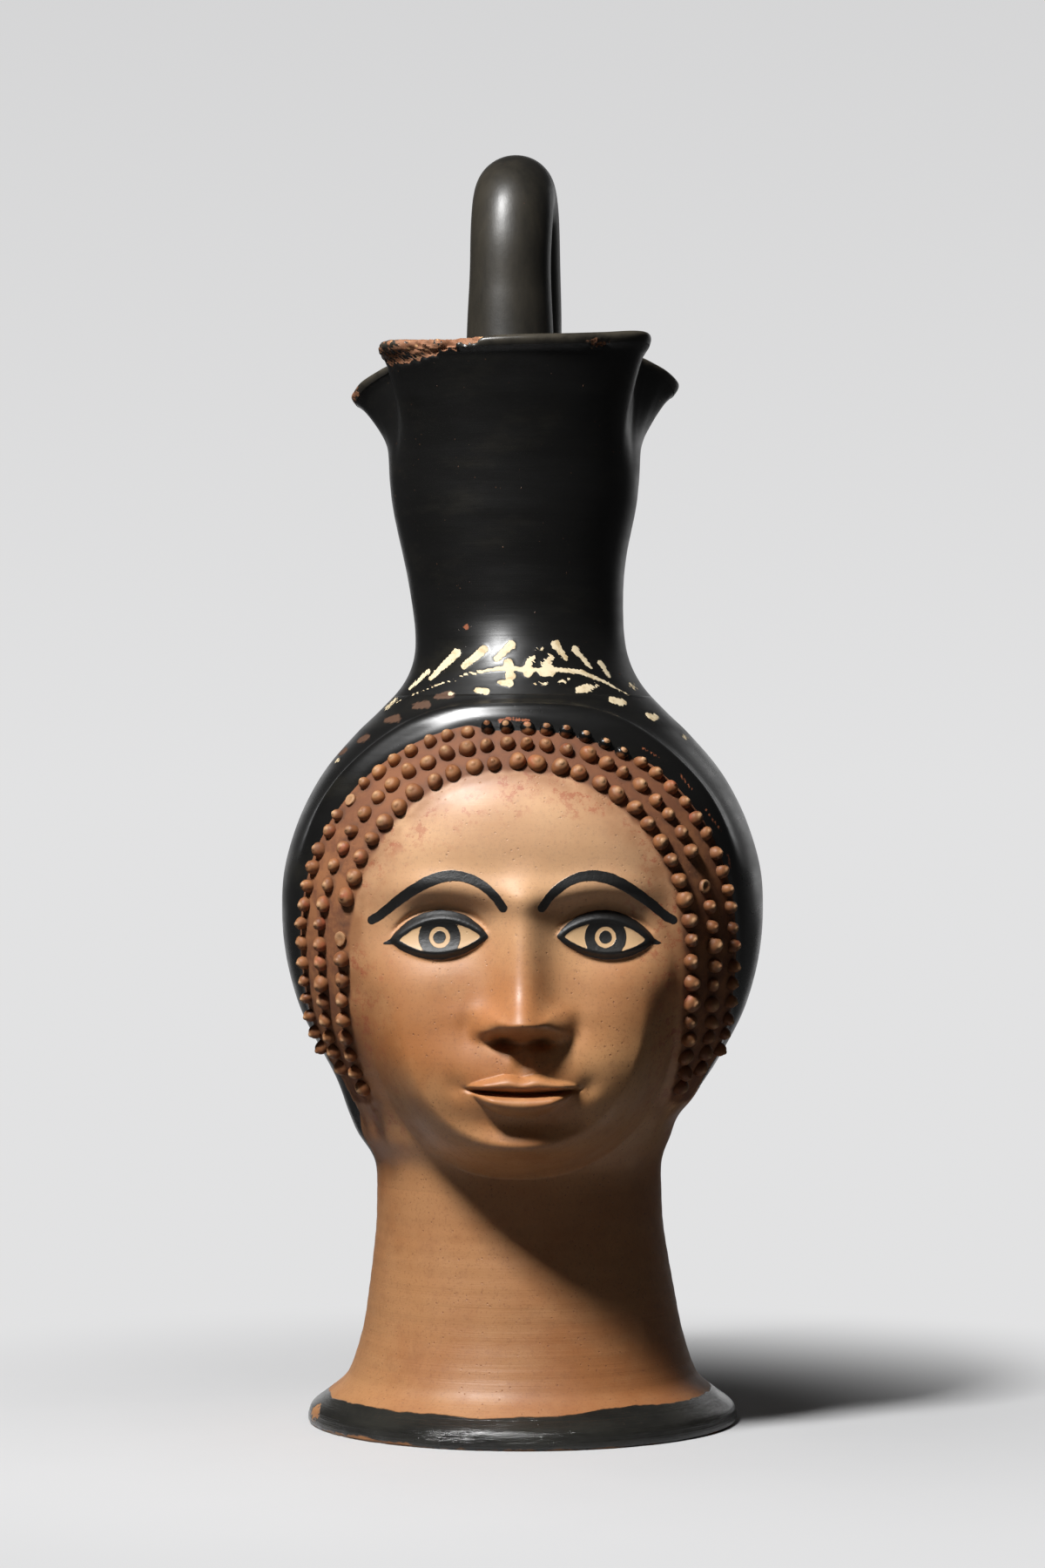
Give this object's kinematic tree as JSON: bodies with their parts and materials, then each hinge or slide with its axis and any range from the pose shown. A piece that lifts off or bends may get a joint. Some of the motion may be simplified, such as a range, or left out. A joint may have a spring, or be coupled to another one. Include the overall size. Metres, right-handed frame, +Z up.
{
  "type": "head-shaped pouring jug",
  "caption": "Fired clay wine jug in the shape of a woman's head, with a three-lobed mouth, high loop handle and flared hollow foot.",
  "frame": {"origin": "centre of the foot on the surface that the jug stands on", "axes": "+Z up, face towards -Y, +X to the right of someone who looks at the face"},
  "size_m": [0.0892, 0.1045, 0.24],
  "materials": {
    "clay": "fired clay with a thin burnished wash",
    "hair_clay": "fired clay with worn red-brown wash",
    "black_gloss": "brushed black gloss"
  },
  "bodies": {
    "root": {"neck_stand": "clay", "floor_disc": "clay", "face_front": "clay", "head_back": "black_gloss", "seam_coil_left": "clay", "seam_coil_right": "clay", "curl_row_outer": "hair_clay", "curl_row_middle": "hair_clay", "curl_row_inner": "hair_clay", "mouth_neck": "black_gloss", "handle": "black_gloss"}
  },
  "joints": []
}
